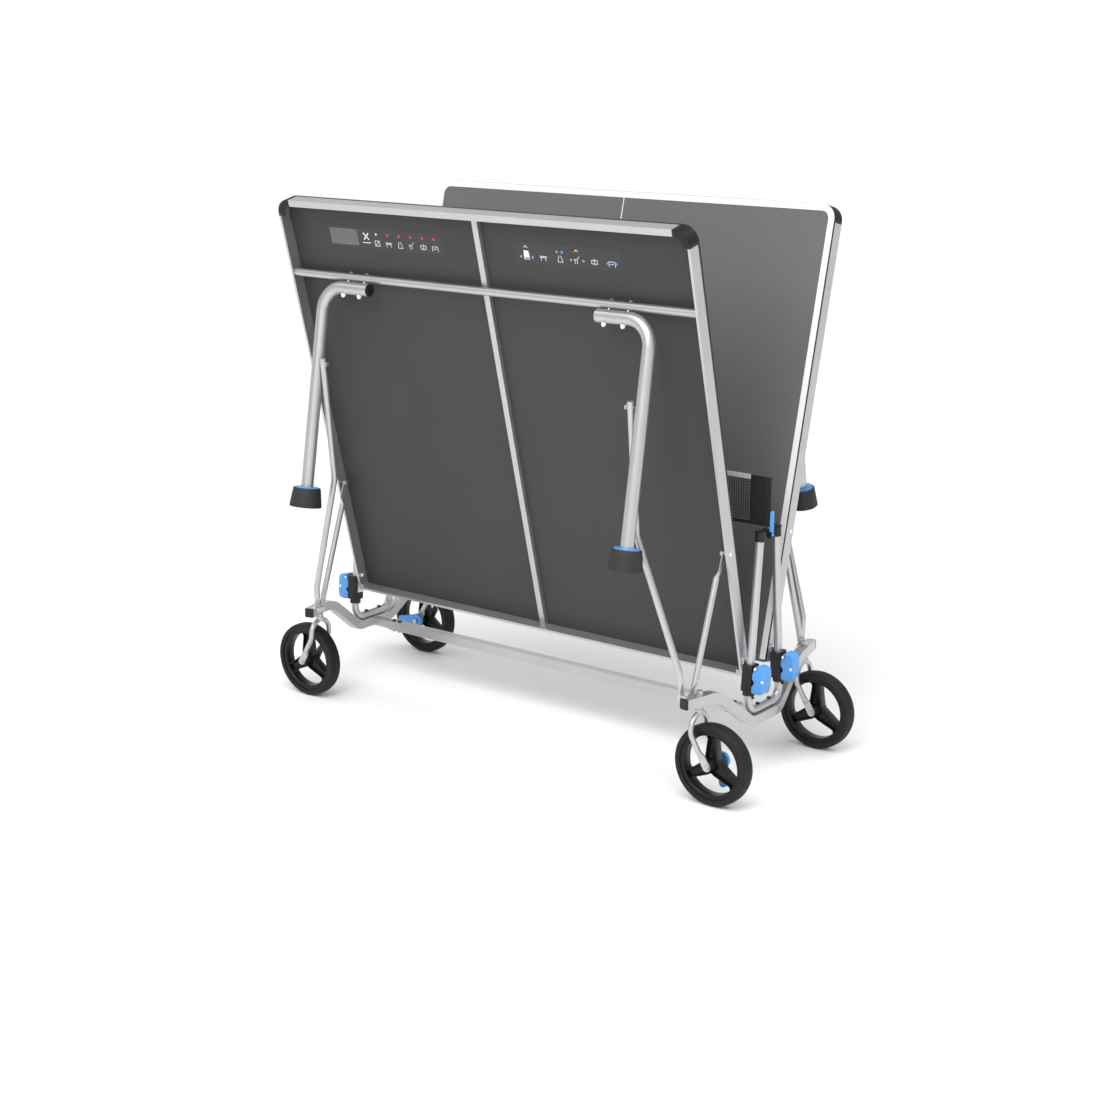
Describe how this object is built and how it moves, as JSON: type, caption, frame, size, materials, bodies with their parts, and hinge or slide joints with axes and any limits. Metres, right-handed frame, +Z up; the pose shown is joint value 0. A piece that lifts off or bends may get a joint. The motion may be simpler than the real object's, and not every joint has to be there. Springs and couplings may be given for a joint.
{
  "type": "ping pong table",
  "caption": "Folding table-tennis table in its upright storage position: two tipping half-tables on a wheeled tube chassis with slider uprights, folding leg sets, locks and a net.",
  "frame": {"origin": "on the floor, at the centre of the footprint midway between the four wheels", "axes": "+X along the net, +Y across the net towards the rear half-table, +Z up"},
  "size_m": [1.8508, 1.0652, 1.6645],
  "materials": {
    "silver_steel": "satin silver-grey powder coat",
    "zinc_steel": "zinc-plated",
    "black_steel": "black fasteners",
    "table_board": "dark slate resin laminate",
    "black_plastic": "moulded black",
    "wheel_plastic": "moulded black wheel",
    "tyre_rubber": "black rubber tread",
    "black_rubber": "matt rubber",
    "blue_plastic": "semi-gloss blue",
    "net_mesh": "knotted black net",
    "net_cloth": "black woven cloth"
  },
  "bodies": {
    "chassis": {"left_rail": "silver_steel", "right_rail": "silver_steel", "rail_plugs": "black_plastic", "crossbar": "silver_steel", "crossbar_sleeves": "silver_steel", "frame_bolts": "black_steel", "uprights": "silver_steel", "upright_stops": "black_rubber", "post_caps": "black_plastic", "caster_sockets": "silver_steel", "strut_pins": "zinc_steel", "net": "net_mesh", "net_sleeves": "net_cloth", "net_posts": "zinc_steel"},
    "left_net_lever": {"left_net_lever": "blue_plastic"},
    "right_net_lever": {"right_net_lever": "blue_plastic"},
    "left_net_knob": {"left_net_knob": "black_plastic"},
    "right_net_knob": {"right_net_knob": "black_plastic"},
    "front_carriage": {"front_sliders": "black_plastic", "front_pivot_plates": "zinc_steel"},
    "front_table": {"front_board": "table_board", "front_rim": "silver_steel", "front_mid_beam": "silver_steel", "front_corner_caps": "black_plastic"},
    "front_leg_set": {"front_cross_tube": "silver_steel", "front_legs": "silver_steel"},
    "front_arms": {"front_arms": "silver_steel"},
    "front_links": {"front_links": "silver_steel"},
    "front_left_lock": {"front_left_lock": "blue_plastic"},
    "front_left_foot": {"front_left_foot": "black_rubber"},
    "front_left_caster": {"front_left_fork": "silver_steel"},
    "front_left_wheel": {"front_left_wheel": "wheel_plastic", "front_left_tyre": "tyre_rubber"},
    "front_right_lock": {"front_right_lock": "blue_plastic"},
    "front_right_foot": {"front_right_foot": "black_rubber"},
    "front_right_caster": {"front_right_fork": "silver_steel"},
    "front_right_wheel": {"front_right_wheel": "wheel_plastic", "front_right_tyre": "tyre_rubber"},
    "rear_carriage": {"rear_sliders": "black_plastic", "rear_pivot_plates": "zinc_steel"},
    "rear_table": {"rear_board": "table_board", "rear_rim": "silver_steel", "rear_mid_beam": "silver_steel", "rear_corner_caps": "black_plastic"},
    "rear_leg_set": {"rear_cross_tube": "silver_steel", "rear_legs": "silver_steel"},
    "rear_arms": {"rear_arms": "silver_steel"},
    "rear_links": {"rear_links": "silver_steel"},
    "rear_left_lock": {"rear_left_lock": "blue_plastic"},
    "rear_left_foot": {"rear_left_foot": "black_rubber"},
    "rear_left_caster": {"rear_left_fork": "silver_steel"},
    "rear_left_wheel": {"rear_left_wheel": "wheel_plastic", "rear_left_tyre": "tyre_rubber"},
    "rear_right_lock": {"rear_right_lock": "blue_plastic"},
    "rear_right_foot": {"rear_right_foot": "black_rubber"},
    "rear_right_caster": {"rear_right_fork": "silver_steel"},
    "rear_right_wheel": {"rear_right_wheel": "wheel_plastic", "rear_right_tyre": "tyre_rubber"},
    "front_brake": {"front_brake": "blue_plastic"},
    "rear_brake": {"rear_brake": "blue_plastic"}
  },
  "joints": [
    {"name": "front_slide", "type": "slide", "parent": "chassis", "child": "front_carriage", "axis": [0, 0.0878, 0.9961], "range_m": [0, 0.3621]},
    {"name": "front_fold", "type": "hinge", "parent": "front_carriage", "child": "front_table", "pos_m": [0, -0.07677, 0.37139], "axis": [1, 0, 0], "range_deg": [0, 75.95]},
    {"name": "front_leg_turn", "type": "hinge", "parent": "front_table", "child": "front_leg_set", "pos_m": [0, -0.34527, 1.42368], "axis": [1, 0, 0], "range_deg": [-69.15, 0]},
    {"name": "front_arm_turn", "type": "hinge", "parent": "chassis", "child": "front_arms", "pos_m": [0, -0.308, 0.312], "axis": [1, 0, 0], "range_deg": [0, 31.6]},
    {"name": "front_link_turn", "type": "hinge", "parent": "chassis", "child": "front_links", "pos_m": [0, -0.337, 0.318], "axis": [1, 0, 0], "range_deg": [0, 75.42]},
    {"name": "front_left_lock_lift", "type": "hinge", "parent": "front_carriage", "child": "front_left_lock", "pos_m": [-0.814, -0.07796, 0.35794], "axis": [0, 0.9961, -0.0878], "range_deg": [0, 25]},
    {"name": "front_left_foot_turn", "type": "hinge", "parent": "front_leg_set", "child": "front_left_foot", "pos_m": [-0.615, -0.47634, 0.74263], "axis": [0, -0.1702, -0.9854], "continuous": true},
    {"name": "front_left_swivel", "type": "hinge", "parent": "chassis", "child": "front_left_caster", "pos_m": [-0.75, -0.295, 0.3], "axis": [0, 0, 1], "continuous": true},
    {"name": "front_left_roll", "type": "hinge", "parent": "front_left_caster", "child": "front_left_wheel", "pos_m": [-0.8024, -0.295, 0.123], "axis": [0, 1, 0], "continuous": true},
    {"name": "front_right_lock_lift", "type": "hinge", "parent": "front_carriage", "child": "front_right_lock", "pos_m": [0.814, -0.07796, 0.35794], "axis": [0, -0.9961, 0.0878], "range_deg": [0, 25]},
    {"name": "front_right_foot_turn", "type": "hinge", "parent": "front_leg_set", "child": "front_right_foot", "pos_m": [0.615, -0.47634, 0.74263], "axis": [0, -0.1702, -0.9854], "continuous": true},
    {"name": "front_right_swivel", "type": "hinge", "parent": "chassis", "child": "front_right_caster", "pos_m": [0.75, -0.295, 0.3], "axis": [0, 0, 1], "continuous": true},
    {"name": "front_right_roll", "type": "hinge", "parent": "front_right_caster", "child": "front_right_wheel", "pos_m": [0.8024, -0.295, 0.123], "axis": [0, 1, 0], "continuous": true},
    {"name": "rear_slide", "type": "slide", "parent": "chassis", "child": "rear_carriage", "axis": [0, -0.0878, 0.9961], "range_m": [0, 0.3621]},
    {"name": "rear_fold", "type": "hinge", "parent": "rear_carriage", "child": "rear_table", "pos_m": [0, 0.07677, 0.37139], "axis": [-1, 0, 0], "range_deg": [0, 75.95]},
    {"name": "rear_leg_turn", "type": "hinge", "parent": "rear_table", "child": "rear_leg_set", "pos_m": [0, 0.34527, 1.42368], "axis": [-1, 0, 0], "range_deg": [-69.15, 0]},
    {"name": "rear_arm_turn", "type": "hinge", "parent": "chassis", "child": "rear_arms", "pos_m": [0, 0.308, 0.312], "axis": [-1, 0, 0], "range_deg": [0, 31.6]},
    {"name": "rear_link_turn", "type": "hinge", "parent": "chassis", "child": "rear_links", "pos_m": [0, 0.337, 0.318], "axis": [-1, 0, 0], "range_deg": [0, 75.42]},
    {"name": "rear_left_lock_lift", "type": "hinge", "parent": "rear_carriage", "child": "rear_left_lock", "pos_m": [-0.814, 0.07796, 0.35794], "axis": [0, 0.9961, 0.0878], "range_deg": [0, 25]},
    {"name": "rear_left_foot_turn", "type": "hinge", "parent": "rear_leg_set", "child": "rear_left_foot", "pos_m": [-0.615, 0.47634, 0.74263], "axis": [0, 0.1702, -0.9854], "continuous": true},
    {"name": "rear_left_swivel", "type": "hinge", "parent": "chassis", "child": "rear_left_caster", "pos_m": [-0.75, 0.295, 0.3], "axis": [0, 0, 1], "continuous": true},
    {"name": "rear_left_roll", "type": "hinge", "parent": "rear_left_caster", "child": "rear_left_wheel", "pos_m": [-0.8024, 0.295, 0.123], "axis": [0, 1, 0], "continuous": true},
    {"name": "rear_right_lock_lift", "type": "hinge", "parent": "rear_carriage", "child": "rear_right_lock", "pos_m": [0.814, 0.07796, 0.35794], "axis": [0, -0.9961, -0.0878], "range_deg": [0, 25]},
    {"name": "rear_right_foot_turn", "type": "hinge", "parent": "rear_leg_set", "child": "rear_right_foot", "pos_m": [0.615, 0.47634, 0.74263], "axis": [0, 0.1702, -0.9854], "continuous": true},
    {"name": "rear_right_swivel", "type": "hinge", "parent": "chassis", "child": "rear_right_caster", "pos_m": [0.75, 0.295, 0.3], "axis": [0, 0, 1], "continuous": true},
    {"name": "rear_right_roll", "type": "hinge", "parent": "rear_right_caster", "child": "rear_right_wheel", "pos_m": [0.8024, 0.295, 0.123], "axis": [0, 1, 0], "continuous": true},
    {"name": "front_brake_press", "type": "hinge", "parent": "front_right_caster", "child": "front_brake", "pos_m": [0.8024, -0.26, 0.123], "axis": [0, 1, 0], "range_deg": [0, 30]},
    {"name": "rear_brake_press", "type": "hinge", "parent": "rear_left_caster", "child": "rear_brake", "pos_m": [-0.8024, 0.26, 0.123], "axis": [0, -1, 0], "range_deg": [0, 30]},
    {"name": "left_net_clamp", "type": "hinge", "parent": "chassis", "child": "left_net_lever", "pos_m": [-0.797, 0, 0.742], "axis": [0, -1, 0], "range_deg": [0, 80]},
    {"name": "left_net_screw", "type": "hinge", "parent": "chassis", "child": "left_net_knob", "pos_m": [-0.785, 0.01, 0.776], "axis": [0, 1, 0], "continuous": true},
    {"name": "right_net_clamp", "type": "hinge", "parent": "chassis", "child": "right_net_lever", "pos_m": [0.797, 0, 0.742], "axis": [0, 1, 0], "range_deg": [0, 80]},
    {"name": "right_net_screw", "type": "hinge", "parent": "chassis", "child": "right_net_knob", "pos_m": [0.785, 0.01, 0.776], "axis": [0, 1, 0], "continuous": true}
  ],
  "couplings": [
    {"joint": "front_slide", "follows": "front_fold", "m_per_rad": 0.2731},
    {"joint": "front_leg_turn", "follows": "front_fold", "ratio": -0.91025},
    {"joint": "front_arm_turn", "follows": "front_fold", "ratio": 0.41587},
    {"joint": "front_link_turn", "follows": "front_fold", "ratio": 0.99283},
    {"joint": "rear_slide", "follows": "rear_fold", "m_per_rad": 0.2731},
    {"joint": "rear_leg_turn", "follows": "rear_fold", "ratio": -0.91025},
    {"joint": "rear_arm_turn", "follows": "rear_fold", "ratio": 0.41587},
    {"joint": "rear_link_turn", "follows": "rear_fold", "ratio": 0.99283}
  ]
}
